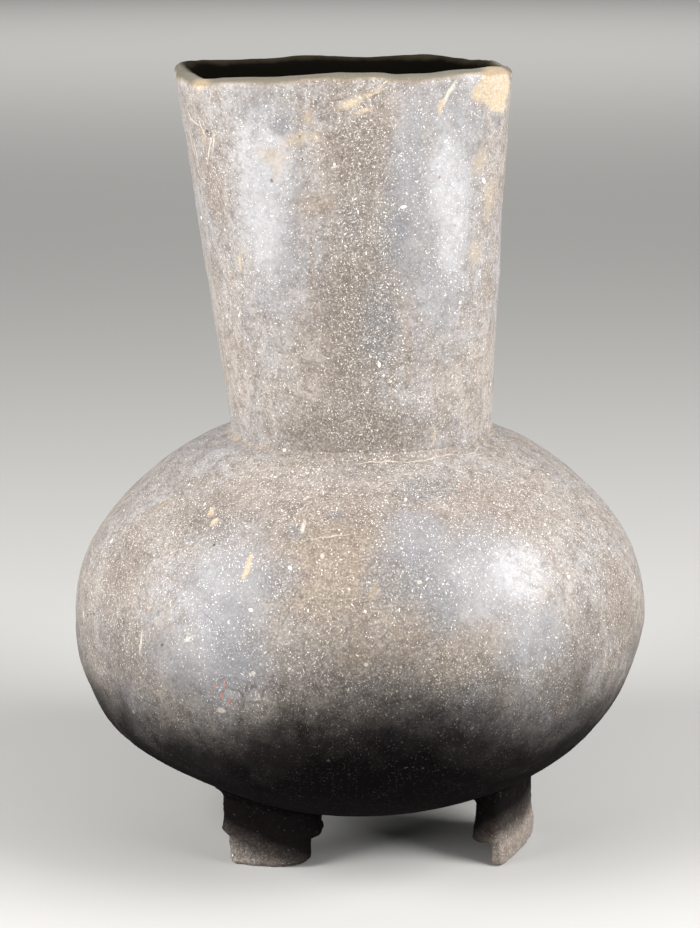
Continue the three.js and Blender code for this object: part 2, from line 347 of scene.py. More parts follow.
def roughen(piece, swells, free=None):
    """Uneven clay: swells and hollows, each of a size across and as deep as free lets them be"""
    for size, depth in swells:
        texture = bpy.data.textures.new(piece.name + "_uneven", "CLOUDS")
        texture.noise_scale = size
        texture.noise_depth = 2
        change = piece.modifiers.new("uneven", "DISPLACE")
        change.texture = texture
        change.texture_coords = "LOCAL"
        change.strength = depth
        if free is not None:
            group = piece.vertex_groups.new(name="free")
            shares = np.rint(free * FREE_STEPS).astype(int)
            for share in range(1, FREE_STEPS + 1):
                group.add(np.nonzero(shares == share)[0].tolist(), share / FREE_STEPS, "REPLACE")
            change.vertex_group = group.name
        bpy.ops.object.modifier_apply(modifier=change.name)
        piece.vertex_groups.clear()


def press(points, dents, centre):
    """Pushes a wall out, or in where the depth is negative, around each direction and height"""
    around = np.degrees(np.arctan2(points[:, 0], -points[:, 1]))
    away = points - centre
    away /= np.linalg.norm(away, axis=1)[:, None]
    for direction, height, depth, half_turn, half_height in dents:
        turned = (around - direction + 180) % 360 - 180
        weight = np.exp(-((turned / half_turn) ** 2) - ((points[:, 2] - height) / half_height) ** 2)
        points += away * (depth * weight)[:, None]


# Broad stains of the wall, with painted highlights and painted shade among them: direction, height, half
# width, half height, tilt and how soft the edge is. A tilt leans the top to the right. PLAIN holds the last
# two for a row that leaves them out.
PLAIN = (0, 0.9)
# Painted highlights: pale haze laid on the neck and globe where the two soft boxes reflect
PAINTED_HIGHLIGHTS = (
    (-62, 226, 9, 4, 0, 0.8),
    (-29, 204, 5, 11),
    (-33, 205, 7, 10),
    (-34, 190, 6, 18),
    (36, 188, 4, 16),
    (31, 200, 4, 12),
    (36, 96, 8, 7),
)
# Painted highlight tint: a cool grey laid where the lights reflect, for the neutral colour of their
# highlights
HIGHLIGHT_TINTS = (
    (-28, 92, 12, 16),
    (-30, 74, 18, 9),
    (14, 106, 9, 9),
    (26, 97, 16, 13),
    (35, 80, 12, 8),
    (-31, 192, 8, 28),
    (33, 190, 9, 34),
    (19, 195, 5, 26),
)
TANNED = (
    (-6, 98, 15, 17),
    (4, 84, 14, 8, -10),
    (19, 78, 14, 6, -15),
    (-16, 192.5, 5, 3, 0, 0.8),
)
SLATY = (
    (9, 98, 9, 9),
    (15.5, 91, 5, 8),
    (2.5, 96, 2.5, 3.5, 15, 0.8),
    (-6.5, 111, 2.5, 1.2, 0, 0.8),
    (-16, 107.5, 3, 2.2, 0, 0.8),
    (-17, 97, 5, 6),
    (-24, 82, 8, 8),
    (20, 116, 9, 2.5),
    (-25.5, 213, 2.5, 2.0, -20, 0.8),
    (8, 160, 5, 12),
    (12, 185, 4, 10),
)
BROWNED = (
    (2, 103, 40, 14),
    (-3, 129, 20, 8),
    (-4, 158, 9, 26),
    (-5, 205, 7, 9),
    (7, 214, 4, 9),
    (4, 106, 14, 6),
    (-57, 92, 9, 10),
    (-52, 196, 4, 12),
    (63, 80, 8, 12),
    (38, 112, 16, 8, 20),
    (-42, 110, 14, 7, -20),
)
# Smoke clouds, partly painted shade: the dark band down the front of neck and globe between the two lights,
# and darker lower sides
SMOKE_AND_SHADE_MARKS = (
    (1, 97, 34, 17),
    (1, 103, 19, 13),
    (-50, 72, 14, 8),
    (-38, 106, 10, 6),
    (3, 80, 30, 14),
    (40, 66, 9, 7),
    (46, 74, 10, 9),
    (0, 128, 24, 8),
    (0, 165, 10, 48),
    (2, 75, 20, 10),
    (17, 73, 14, 7),
)
FRONT_SHADE_LOBE = ((3, 55, 28, 34),)  # painted shade: the darkening rises highest at the front, where neither light reaches
CROWDED = (  # thick with shell
    (60, 80, 8, 34),
    (-64, 84, 12, 34),
    (-8, 116, 44, 5),
    (33, 112, 24, 11, 20),
    (-45, 108, 16, 9, -20),
    (-16, 64, 14, 5),
    (10, 70, 30, 6),
    (2, 168, 8, 50),
)
NOTED = (  # the names under which each piece notes them for its clay
    ("crowded", CROWDED),
    ("browned", BROWNED),
    ("smoke_and_shade", SMOKE_AND_SHADE_MARKS),
    ("slaty", SLATY),
    ("highlight_tint", HIGHLIGHT_TINTS),
    ("painted_highlight", PAINTED_HIGHLIGHTS),
    ("tanned", TANNED),
    ("front_shade_lobe", FRONT_SHADE_LOBE),
)


def surface_spot(direction, height):
    """The point of the outer wall at a direction and a height"""
    turn = math.radians(direction)
    if height < JOIN_HEIGHT:
        radius, centre = globe_radius(height), -float(sag(height))
        return Vector((centre + radius * math.sin(turn), -radius * math.cos(turn), height))
    share = min(1.0, (height - JOIN_HEIGHT) / NECK_LENGTH)
    centre, _, _, wide, deep = neck_level(share, 0)
    power = 2 + (MOUTH_SQUARENESS - 2) * share
    back = math.radians(-MOUTH_TURN)
    near, far = 0.0, 2 * MOUTH_HALF_WIDTH
    for _ in range(REACH_ROUNDS):
        reach = (near + far) / 2
        x, y = reach * math.sin(turn) - centre, -reach * math.cos(turn)
        across = (x * math.cos(back) - y * math.sin(back)) / wide
        deeper = (x * math.sin(back) + y * math.cos(back)) / deep
        if abs(across) ** power + abs(deeper) ** power < 1:
            near = reach
        else:
            far = reach
    return Vector((reach * math.sin(turn), -reach * math.cos(turn), height))


def cover_of(points, marks):
    """How much the marks cover each point, from 1 inside one to 0 outside them all"""
    covered = np.zeros(len(points))
    for mark in marks:
        direction, height, half_across, half_up, tilt, soft = (*mark, *PLAIN[len(mark) - 4 :])
        turned = np.array(Euler((0, math.radians(tilt), math.radians(direction))).to_matrix())
        size = (half_across, max(half_across, half_up), half_up)
        reach = np.linalg.norm((points - surface_spot(direction, height)) @ turned / size, axis=1)
        covered = np.maximum(covered, 1 - fade_in(reach, 1 - soft, 1 + soft))
    return covered


def finish_piece(piece, material, slot, *nodes):
    """Notes the stains, brings a piece to metres and lets it take the place of its solids"""
    points = read_points(piece)
    for name, marks in NOTED:
        note(piece, name, cover_of(points, marks))
    piece.data.transform(Matrix.Scale(MM, 4))
    piece.data.materials.clear()
    piece.data.materials.append(material)
    bpy.ops.object.shade_smooth()
    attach(piece, "root")
    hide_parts(*nodes)


def make_globe(material):
    mean_radius = (GLOBE_RADIUS + SHOULDER_RISE) / 2
    outside = []
    for turn in evenly(STEP / mean_radius, top_turn(NECK_BASE_RADIUS + NECK_OFFSET, 0), STEP / mean_radius):
        radius, height = profile_point(turn, 0)
        outside.append(globe_level(height, radius))
    throat = NECK_BASE_RADIUS - NECK_WALL
    lining = []
    first_turn = top_turn(throat + NECK_OFFSET, GLOBE_WALL)
    for turn in evenly(first_turn, LINING_STEP / mean_radius, LINING_STEP / mean_radius):
        radius, height = profile_point(turn, GLOBE_WALL)
        height += max(0.0, math.cos(turn)) ** 2 * (BASE_WALL - GLOBE_WALL)
        lining.append(globe_level(height, radius))
    piece = start_ring("globe_body_clay", outside[0], AROUND)
    close_pole((-outside[0][0], 0, GROUND_CLEARANCE - outside[0][2]))
    select_first_ring(piece, AROUND)
    raise_wall([*outside, (NECK_OFFSET, 0, JOIN_HEIGHT, throat, throat), *lining])
    close_pole((-lining[-1][0], 0, GROUND_CLEARANCE + BASE_WALL - lining[-1][2]))
    close_up()
    points = read_points(piece)
    rise = points[:, 2] - GLOBE_CENTRE
    reach = np.hypot(points[:, 0], points[:, 1])
    extent = np.where(rise > 0, SHOULDER_RISE, BASE_DROP)
    fullness = (reach / GLOBE_RADIUS) ** GLOBE_FULLNESS + (np.abs(rise) / extent) ** GLOBE_FULLNESS
    note(piece, "bore", 1 - fade_in(fullness ** (1 / GLOBE_FULLNESS), *LINING_EDGE))
    press(points, GLOBE_DENTS, (0, 0, GLOBE_CENTRE))
    write_points(piece, points)
    joint = np.hypot(reach - NECK_BASE_RADIUS, points[:, 2] - JOIN_HEIGHT)
    free = fade_in(joint, *GLOBE_CALM) * fade_in(points[:, 2], *FOOT_CALM)
    roughen(piece, GLOBE_UNEVEN, free)
    finish_piece(piece, material, "fired_clay", "globe_body")


def make_neck(material):
    lip_half = LIP_WALL / 2
    lip_bottom = 1 - lip_half / NECK_LENGTH
    outside = [neck_level(share, 0) for share in evenly(0, lip_bottom, STEP / NECK_LENGTH)]
    lip = []
    for i in range(1, LIP_STEPS):
        turn = math.pi * i / LIP_STEPS
        share = lip_bottom + lip_half * math.sin(turn) / NECK_LENGTH
        lip.append(neck_level(share, lip_half * (1 - math.cos(turn))))
    bore = [
        neck_level(share, NECK_WALL + (LIP_WALL - NECK_WALL) * share)
        for share in evenly(lip_bottom, 0, LINING_STEP / NECK_LENGTH)
    ]
    piece = start_ring("neck_clay", outside[0], AROUND)
    raise_wall([*outside, *lip, *bore, outside[0]])
    close_up()
    points = read_points(piece)
    shape_mouth(piece, points)
    press(points, NECK_DENTS, (0, 0, GLOBE_CENTRE))
    write_points(piece, points)
    roughen(piece, NECK_UNEVEN, fade_in(points[:, 2] - JOIN_HEIGHT, *NECK_CALM))
    finish_piece(piece, material, "fired_clay", "neck")


def shape_mouth(piece, points):
    """Squeezes the round neck to a rounded square at its mouth, turns it, and lets its lip rise and dip"""
    share = np.clip((points[:, 2] - JOIN_HEIGHT) / NECK_LENGTH, 0, 1)
    opened = share**NECK_FLARE
    wide = NECK_BASE_RADIUS + (MOUTH_HALF_WIDTH - NECK_BASE_RADIUS) * opened
    deep = NECK_BASE_RADIUS + (MOUTH_HALF_DEPTH - NECK_BASE_RADIUS) * opened
    centre = NECK_OFFSET + (MOUTH_OFFSET - NECK_OFFSET) * share**NECK_LEAN
    x = points[:, 0] - centre
    y = points[:, 1]
    inset = (1 - np.hypot(x / wide, y / deep)) * deep
    into_lip = inset / LIP_WALL + LIP_SMOKE_AND_SHADE_BEHIND * fade_in(y, *BEHIND)
    note(piece, "bore", fade_in(into_lip, *LIP_SMOKE_AND_SHADE))
    note(piece, "lip", np.clip(1 - (1 - share) * NECK_LENGTH / LIP_BAND, 0, 1))
    angle = np.arctan2(y / deep, x / wide)
    power = 2 + (MOUTH_SQUARENESS - 2) * share
    grow = (np.abs(np.cos(angle)) ** power + np.abs(np.sin(angle)) ** power) ** (-1 / power)
    turn = math.radians(MOUTH_TURN)
    x, y = x * grow, y * grow
    points[:, 0] = centre + x * math.cos(turn) - y * math.sin(turn)
    points[:, 1] = x * math.sin(turn) + y * math.cos(turn)
    around = angle + turn
    lip = LIP_RISE * np.cos(around) - LIP_WARP * np.sin(2 * around)
    lip += LIP_WAVE * np.sin(LIP_WAVES * around)
    direction = np.degrees(around) + 90
    for middle, depth, half_turn in LIP_DIPS:
        turned = (direction - middle + 180) % 360 - 180
        lip += depth * np.exp(-((turned / half_turn) ** 2))
    points[:, 2] += lip * share**LIP_FADE


def fillet(start, bend, end):
    """Levels along the curve that leaves start towards bend and arrives at end"""
    levels = []
    for i in range(FILLET_STEPS + 1):
        t = i / FILLET_STEPS
        low = [a + (b - a) * t for a, b in zip(start, bend)]
        high = [a + (b - a) * t for a, b in zip(bend, end)]
        levels.append(tuple(a + (b - a) * t for a, b in zip(low, high)))
    return levels


def make_neck_bead(material):
    on_neck = neck_level(NECK_BEAD_RISE / NECK_LENGTH, TUCK)
    outer = NECK_BASE_RADIUS + NECK_OFFSET + NECK_BEAD_REACH
    on_shoulder = (0, 0, shoulder_height(outer) - TUCK, outer, outer)
    corner = NECK_BASE_RADIUS + NECK_OFFSET
    bend = (NECK_OFFSET / 2, 0, JOIN_HEIGHT + TUCK, corner, corner)
    levels = fillet(on_shoulder, bend, on_neck)
    hidden = [
        neck_level((NECK_BEAD_RISE - BEAD_DEPTH) / NECK_LENGTH, BEAD_DEPTH),
        neck_level(-BEAD_DEPTH / NECK_LENGTH, BEAD_DEPTH),
        (0, 0, shoulder_height(outer) - BEAD_DEPTH, outer - BEAD_DEPTH, outer - BEAD_DEPTH),
    ]
    piece = start_ring("neck_joint_bead_clay", levels[0], AROUND)
    raise_wall([*levels, *hidden, levels[0]])
    close_up()
    roughen(piece, NECK_BEAD_UNEVEN)
    finish_piece(piece, material, "luting_clay", "neck_joint_bead")


def place_on_foot(points, foot):
    """From the foot's own frame, bent along its bow, to the bottle's"""
    direction, facing = math.radians(foot["direction"]), math.radians(foot["facing"])
    along = points[:, 0].copy()
    back = points[:, 1] + along**2 / (2 * FOOT_BOW)
    reach = foot["reach"]
    points[:, 0] = reach * math.sin(direction) + along * math.cos(facing) - back * math.sin(facing)
    points[:, 1] = -reach * math.cos(direction) + along * math.sin(facing) + back * math.cos(facing)


def make_foot(foot, material):
    toe = (foot["toe"] / 2, TOE_THICKNESS / 2)
    slab = (foot["width"] / 2, FOOT_THICKNESS / 2)
    waist = (slab[0] - FOOT_WAIST, slab[1] - FOOT_WAIST)
    swell_top = foot["step"] + FOOT_EDGE + (HEAD_START - foot["step"]) * FOOT_SWELL
    stages = (
        (0, toe[0] - FOOT_EDGE, toe[1] - FOOT_EDGE, FOOT_EDGE),
        (FOOT_EDGE, *toe, 0),
        (foot["step"], *toe, 0),
        (foot["step"], slab[0] - FOOT_EDGE, slab[1] - FOOT_EDGE / 2, 0),
        (foot["step"] + FOOT_EDGE, *slab, 0),
        (swell_top + WAIST_RUN, *waist, FOOT_WAIST),
        (HEAD_TOP, *waist, FOOT_WAIST),
    )
    levels = [(0, inset + deep - slab[1], height, wide, deep) for height, wide, deep, inset in stages]
    piece = start_ring(foot["name"] + "_clay", levels[0], FOOT_AROUND, FOOT_CORNER)
    bpy.ops.mesh.edge_face_add()
    raise_wall(levels)
    close_up()
    remesh = piece.modifiers.new("even_grain", "REMESH")
    remesh.mode = "VOXEL"
    remesh.voxel_size = FOOT_GRAIN
    bpy.ops.object.modifier_apply(modifier=remesh.name)
    worn = piece.modifiers.new("worn", "SMOOTH")
    worn.iterations = FOOT_WEAR
    bpy.ops.object.modifier_apply(modifier=worn.name)
    points = read_points(piece)
    along, height = points[:, 0].copy(), points[:, 2].copy()
    to_end = np.maximum(0, along / toe[0])
    points[:, 2] += foot["worn"] * to_end**2 * (1 - np.minimum(1, height / foot["step"]))
    place_on_foot(points, foot)
    stretch = np.clip((points[:, 2] - HEAD_START) / (HEAD_TOP - HEAD_START), 0, 1)
    head = underside(points[:, 0], points[:, 1]) + HEAD_TUCK
    points[:, 2] = np.where(stretch > 0, HEAD_START + (head - HEAD_START) * stretch, points[:, 2])
    write_points(piece, points)
    roughen(piece, FOOT_UNEVEN)
    points = read_points(piece)
    points[:, 2] = np.maximum(points[:, 2], 0)
    write_points(piece, points)
    finish_piece(piece, material, "foot_clay", foot["name"])


def make_foot_bead(foot, material):
    wide = foot["width"] / 2 - FOOT_WAIST
    deep = FOOT_THICKNESS / 2 - FOOT_WAIST
    low = (-FOOT_BEAD_DROP, -TUCK)
    corner = (0, BEAD_HOLLOW)
    high = (TUCK, FOOT_BEAD_REACH)
    section = [
        *fillet(low, corner, high),
        (BEAD_DEPTH, FOOT_BEAD_REACH - BEAD_DEPTH),
        (BEAD_DEPTH, -BEAD_DEPTH),
        (-FOOT_BEAD_DROP + TUCK, -BEAD_DEPTH),
        low,
    ]
    levels = [(0, 0, height, wide + away, deep + away) for height, away in section]
    piece = start_ring(foot["name"] + "_joint_bead_clay", levels[0], FOOT_AROUND, FOOT_CORNER)
    raise_wall(levels)
    close_up()
    points = read_points(piece)
    place_on_foot(points, foot)
    points[:, 2] += underside(points[:, 0], points[:, 1])
    write_points(piece, points)
    roughen(piece, FOOT_BEAD_UNEVEN)
    finish_piece(piece, material, "luting_clay", foot["name"] + "_joint_bead")


# Clay

MIX_A, MIX_B, MIXED = 6, 7, 2  # the colour sockets of a Mix node

TAUPE = linear("#8a827b")
GREY = linear("#858384")
BROWN = linear("#6f635a")
DARK_GRAIN = linear("#483f38")
SHELL = linear("#e0dcd5")
SHELL_CREAM = linear("#b6afa6")
RUST = linear("#8a5430")
TAN = linear("#86725a")
CREAM = linear("#9d896a")
CHALK = linear("#aba396")
# The pale grey of the painted highlights
PAINTED_HIGHLIGHT_GREY = linear("#b2b1b3")
SLATE = linear("#5a5c61")
# The cool grey of the painted highlight tint
HIGHLIGHT_TINT_GREY = linear("#74757a")
# The dark of the smoke clouds and of the painted shade laid with them
SMOKE_AND_SHADE_TONE = linear("#4b4540")
FIRED_RED = linear("#9a5230")
CRACK = linear("#2f2925")
# Soot and painted shade: black for the lower body's fire cloud and its shade where the lights do not reach,
# and for painted shadow on the feet
SOOT_AND_SHADE_BLACK = linear("#080607")
# The bore's black: smoke blackening and painted shade inside the neck
BORE_SMOKE_AND_SHADE = linear("#060503")
BORE_OLIVE = linear("#28231a")
LIP_GREY = linear("#524f43")
LIP_OCHRE = linear("#6f5c3f")
# The feet's tan, darkened as painted shade under the globe
SHADED_FOOT_TAN = linear("#5b534d")
LUTE_BROWN = linear("#70675f")

# Small marks, described in the same way as the stains
CREAM_MARKS = (
    (51, 222, 8.0, 5.0, 0, 0.15),
    (52.5, 217.3, 4.5, 2.0, 0, 0.25),
    (42.5, 221, 1.8, 2.6, 0, 0.3),
    (-3, 219, 3.0, 1.0, -25, 0.8),
    (4, 221.3, 2.2, 0.5, -20, 0.8),
    (1, 216.8, 2.2, 0.5, -10, 0.8),
    (51, 226, 6, 2.2, 0, 0.3),
    (-50, 223.6, 4.0, 2.0, 0, 0.5),
    (-24.7, 98.7, 1.0, 3.6, 8, 0.2),
    (-40.7, 109.4, 1.1, 0.9, 0, 0.3),
    (-37.8, 107.1, 1.0, 0.9, 0, 0.3),
    (-45.5, 84.5, 0.9, 0.7, 30, 0.4),
    (-43.5, 176, 0.35, 3.2, 15, 0.4),
    (29, 217.6, 0.7, 2.4, 12, 0.4),
    (32.5, 127, 0.35, 2.4, 5, 0.4),
)
CHALK_MARKS = (
    (31, 221, 0.5, 4.0, 30, 0.5),
    (-46.0, 75.2, 0.4, 3.2, 3, 0.4),
    (-26.3, 61.6, 1.3, 0.8, 0, 0.3),
    (-34.5, 79.2, 0.8, 0.5, 0, 0.4),
    (-20, 73.3, 0.6, 0.5, 0, 0.4),
    (12.3, 96.3, 0.6, 0.5, 0, 0.4),
    (-50.5, 205.5, 0.26, 5.0, 30, 0.5),
    (-57.5, 213, 3.8, 0.26, 8, 0.5),
    (-61, 214.5, 1.8, 0.26, 40, 0.5),
    (-60.5, 203.5, 0.26, 3.8, -10, 0.5),
    (-47.5, 208.5, 0.3, 3.4, 20, 0.5),
    (-64, 206, 0.26, 3.6, -15, 0.5),
    (-52, 211.5, 0.3, 2.4, -25, 0.5),
    (-9, 202, 1.3, 0.25, -15, 0.5),
    (-7, 106.6, 6.5, 0.06, -5, 0.5),
    (-14, 108.4, 0.6, 1.1, 0, 0.6),
    (-8.5, 102.2, 0.5, 0.5, 0, 0.5),
    (1.2, 76.8, 0.6, 0.5, 0, 0.4),
)
TAN_MARKS = (
    (-21.5, 209.7, 3.6, 1.6, -25, 0.6),
    (-28.5, 205.2, 3.8, 2.2, 10, 0.6),
    (-27.5, 202.5, 1.2, 3.2, 0, 0.6),
    (-15, 210.2, 1.7, 1.2, 0, 0.6),
    (-17, 215.2, 1.2, 1.8, 0, 0.6),
    (-52, 208.8, 1.1, 1.7, 0, 0.6),
    (52.5, 191.7, 2, 5, 0, 0.7),
    (45, 203, 2.2, 4, 20, 0.7),
    (46, 178, 2, 3, 0, 0.7),
    (-67.5, 122.4, 2.0, 0.8, 0, 0.4),
    (-60, 107, 0.6, 4.0, 35, 0.4),
    (2.5, 94.5, 1.0, 2.2, 25, 0.8),
)
RED_MARKS = (
    (-27.5, 67.8, 0.7, 0.25, 0, 0.4),
    (-25.9, 69.0, 0.25, 1.2, 0, 0.4),
    (-26.1, 65.6, 0.35, 0.9, 0, 0.4),
    (-28.3, 66.2, 0.25, 0.8, 0, 0.4),
    (-24.6, 64.3, 0.25, 1.5, 15, 0.4),
)
CRACK_MARKS = (
    (-14, 90.2, 0.14, 3.6, 38, 0.5),
    (-12, 93, 0.9, 0.5, -30, 0.5),
    (2.3, 92.1, 4.5, 0.14, -5, 0.5),
    (-2.1, 80.8, 0.3, 2.8, 3, 0.5),
    (-14.9, 86.5, 0.2, 3.5, 25, 0.5),
    (-7, 81.8, 0.8, 0.4, -20, 0.5),
    (-30.5, 85.5, 3, 0.14, 30, 0.5),
)
CRACKLED = ((-21.5, 66.5, 6.5, 5, 0, 0.5), (-16.5, 69.5, 4, 4, 0, 0.5))
CREASE_DIRECTIONS = (4, 12, 21, 30, 36, 48, 54)
CREASE_RADIUS = 40.3
CREASE_MARKS = tuple(
    (direction, shoulder_height(CREASE_RADIUS), 3.6, 0.09, 0, 0.5) for direction in CREASE_DIRECTIONS
)

# A mark reaches at least this far in and out, whatever its size across the wall
MARK_DEPTH = 7

# Swirls that fray the edges of marks: how wide each is, and twice how far it moves a place
RAGGED = ((6, 3.0), (1.3, 1.4))
WAVERING = ((5, 1.6), (1.0, 0.35))

# Patches of another tone: their size across, back and up, how fine their edges are, where in the pattern
# they begin and are full, how dense they get, and their colour. The paste's own grain is finer than
# GRAINS says, and is drawn as coarse as it has to be to show.
SLOW_DRIFT = ((30, 30, 30), 3, 0.40, 0.62, 1.0)  # takes the clay's second tone
DRIFTS = (
    ((9, 9, 9), 4, 0.48, 0.72, 0.85, BROWN),
    ((6, 6, 7), 4, 0.52, 0.72, 0.6, SLATE),
    ((2.4, 2.4, 30), 3, 0.48, 0.68, 0.7, BROWN),
)
GRAINS = (
    ((3, 3, 3), 4, 0.46, 0.70, 0.65, DARK_GRAIN),
    ((0.9, 0.9, 0.9), 3, 0.46, 0.70, 0.65, DARK_GRAIN),
    ((0.6, 0.6, 0.6), 3, 0.48, 0.70, 0.45, SHELL_CREAM),
)
PATCH_ROUGHNESS = 0.6  # how strong a pattern's finer detail is
HIGHLIGHT_VEIL = 0.6  # how much of the grain is hidden under the painted highlight tint, which keeps the highlights smooth

# Cream and chalk catch on the grain: where in it they begin and are full, and how much shows before that
GRITTY = (0.3, 0.6, 0.4)
SEEN_THROUGH_SOOT_AND_SHADE = 0.05  # how much of them full soot and painted shade let through
CRUMBS = (0.42, 0.6, 0.7)  # chalky crumbs in the cream, described as a patch is

# The stains' colours, with painted highlights and painted shade among them, and how dense they get
STAINS = (
    ("browned", BROWN, 0.75),
    ("smoke_and_shade", SMOKE_AND_SHADE_TONE, 0.5),
    ("highlight_tint", HIGHLIGHT_TINT_GREY, 0.7),
    ("painted_highlight", PAINTED_HIGHLIGHT_GREY, 0.45),
    ("tanned", TAN, 0.34),
    ("slaty", SLATE, 0.6),
)
STAIN_FRAY = 0.9  # how much the patches add to a stain's cover
STAIN_EDGE = (0.6, 1.25)  # where in that sum it begins and is full

# Crushed shell: the cell that holds one grain, its half length and half width, its share of the cells, and
# how far it hides the clay. The last size is flat plates. The finest dust is left to the paste's grain.
SHELL_SIZES = ((0.6, 0.32, 0.10, 1.2, 0.8), (1.0, 0.48, 0.12, 0.9, 0.95), (4.2, 0.8, 0.4, 0.35, 0.8))
SHELL_CROWD = 12  # size of the patches where shell is thick or thin
CROWD_REACH = (0.38, 0.70)  # where in that pattern it is at its thinnest and at its thickest
SHELL_THIN = 0.3
SHELL_THICK = 1.55
SHELL_SHIFTS = (("crowded", 0.28), ("tanned", -0.12))  # stains that move it along that pattern
SHELL_UNDER_SOOT_AND_SHADE = 0.95  # how far the soot and painted shade that hide the clay hide the shell

# Grits and pits: their share of the cells, the cell, and their half length and half width
RUSTY_GRITS = (0.3, 3.1, 0.3, 0.22)
PITS = (0.3, 4.6, 0.45, 0.3)
LARGEST_GRAIN = 1.3  # grains go down to nothing from this share of their stated size
GRAIN_EDGE = (-0.2, 0.25)  # how soft a grain's edge is, as a share of its size

# Fine crackle, and how plain cracks and thin cream are
CRACKLE_CELL = 4.5
CRACKLE_LINE = (0.09, 0.04)  # where a line begins and is full, as shares of a cell
CRACK_COVER = 0.6
THIN_CREAM_COVER = 0.4

# How far the clay is darkened at a level: on the wall by soot and by painted shade where the lights do not
# reach, and on the feet by painted shadow of the globe. Levels are given as shares of the span that follows.
SOOT_AND_SHADE_SPAN = 100
WALL_SOOT_AND_SHADE = ((0.35, 1.0), (0.43, 0.97), (0.52, 0.84), (0.60, 0.58), (0.68, 0.34), (0.78, 0.2), (1.05, 0.0))
# On the feet the darkening is painted shadow of the globe, deepest at the top and inwards, with the toe left
# pale
FOOT_SHADOW = ((0.0, 0.12), (0.025, 0.55), (0.05, 0.85), (0.10, 0.99))
FOOT_SHADOW_RADIUS = 43.0  # on the feet a level rises inwards too, from this far off the axis
FOOT_SHADOW_INWARD = 0.8  # and by this share of the way
FRONT_SHADE_RISE = 13.5  # how much higher it reaches at the front
SOOT_AND_SHADE_PATCHES = 14  # width of the patches by which its edge wanders
WALL_SOOT_AND_SHADE_SWING = 12  # how far the level of the soot and painted shade wanders up and down
FOOT_SHADOW_SWING = 3

# The lip's ochre tinge, its pale band and the browner rim of its bore: where in the lip's note each begins
# and is full, and how dense it gets
LIP_LAYERS = ((0.86, 0.96, 0.55), (0.97, 1.06, 0.8), (1.0, 1.3, 1.0))
LIP_FRAY = 0.5  # how much the patches add to the note

# Relief: size of the trowelled swells, then depths
SWELL_SIZE = 3.2
SWELL_DEPTH = 0.12
GRAIN_DEPTH = 0.04
PLATE_DEPTH = 0.03
PIT_DEPTH = -0.3

# The gloss of the burnished wall, and of soot and painted shade, which drink the light that polished clay
# would throw back
BURNISHED_SHEEN = 0.55
SOOT_AND_SHADE_SHEEN = 0.02
POLISH_PATCHES = (0.3, 0.7)  # where in the patches the polish is at its best and at its worst
POLISH_SWING = (-0.08, 0.1)  # and what that does to the roughness
CREAM_ROUGHNESS = 0.85
SOOT_AND_SHADE_ROUGHNESS = 0.9
BORE_ROUGHNESS = 0.92


def marks_over(tree, place, marks):
    """How much the marks cover a place, from 1 inside one to 0 outside them all"""
    covered = 0.0
    for direction, height, half_across, half_up, tilt, soft in marks:
        size = (half_across, max(half_across, half_up, MARK_DEPTH), half_up)
        turn = (0, math.radians(tilt), math.radians(direction))
        own = {"Vector": place, "Location": surface_spot(direction, height), "Rotation": turn, "Scale": size}
        inside = add(tree, "Mapping", own, vector_type="TEXTURE")
        reach = add(tree, "VectorMath", {0: inside}, operation="LENGTH", out="Value")
        edge = {"Value": reach, "From Min": 1 + soft, "From Max": 1 - soft}
        cover = add(tree, "MapRange", edge, interpolation_type="SMOOTHSTEP")
        covered = add(tree, "Math", {0: covered, 1: cover}, operation="MAXIMUM")
    return covered


def shaken(tree, place, swirls):
    """The place moved about in swirls, by up to half of what each says, which frays a pattern's edge"""
    for size, far in swirls:
        swirl = add(tree, "TexNoise", {"Vector": place, "Scale": 1 / size, "Detail": 2}, out="Color")
        centred = add(tree, "VectorMath", {0: swirl, 1: (0.5, 0.5, 0.5)}, operation="SUBTRACT")
        move = {0: centred, 1: (far, far, far), 2: place}
        place = add(tree, "VectorMath", move, operation="MULTIPLY_ADD")
    return place


def flecks(tree, place, share, cell, half_length, half_width):
    """Grains in the clay: one in each cell, turned at random and cut through by the surface.

    Gives how much of a grain shows at a place, and a colour that each grain has of its own.
    """
    own = add(tree, "TexVoronoi", {"Vector": place, "Scale": 1 / cell}, out="Color")
    centre = own.node.outputs["Position"]
    away = add(tree, "VectorMath", {0: place, 1: centre}, operation="SUBTRACT")
    turn = add(tree, "VectorMath", {0: own, "Scale": 2 * math.pi}, operation="SCALE")
    turned = {"Vector": away, "Rotation": turn}
    turned = add(tree, "VectorRotate", turned, rotation_type="EULER_XYZ")
    thin = (1 / half_length, 1 / half_width, 1 / half_width)
    shaped = add(tree, "VectorMath", {0: turned, 1: thin}, operation="MULTIPLY")
    reach = add(tree, "VectorMath", {0: shaped}, operation="LENGTH", out="Value")
    chance = add(tree, "TexWhiteNoise", {"Vector": own}, noise_dimensions="3D", out="Value")
    spread = {"Value": chance, "From Max": share, "To Min": LARGEST_GRAIN, "To Max": 0.0}
    size = add(tree, "MapRange", spread)
    shown = add(tree, "Math", {0: size, 1: reach}, operation="SUBTRACT")
    edge = {"Value": shown, "From Min": GRAIN_EDGE[0], "From Max": GRAIN_EDGE[1]}
    cover = add(tree, "MapRange", edge, interpolation_type="SMOOTHSTEP")
    return add(tree, "Math", {0: cover, 1: size}, operation="MULTIPLY", use_clamp=True), own


def coat(tree, colour, coats):
    """Lays coats over a colour, each as dense as its factor says"""
    for factor, shade in coats:
        colour = add(tree, "Mix", {0: factor, MIX_A: colour, MIX_B: shade}, data_type="RGBA", out=MIXED)
    return colour


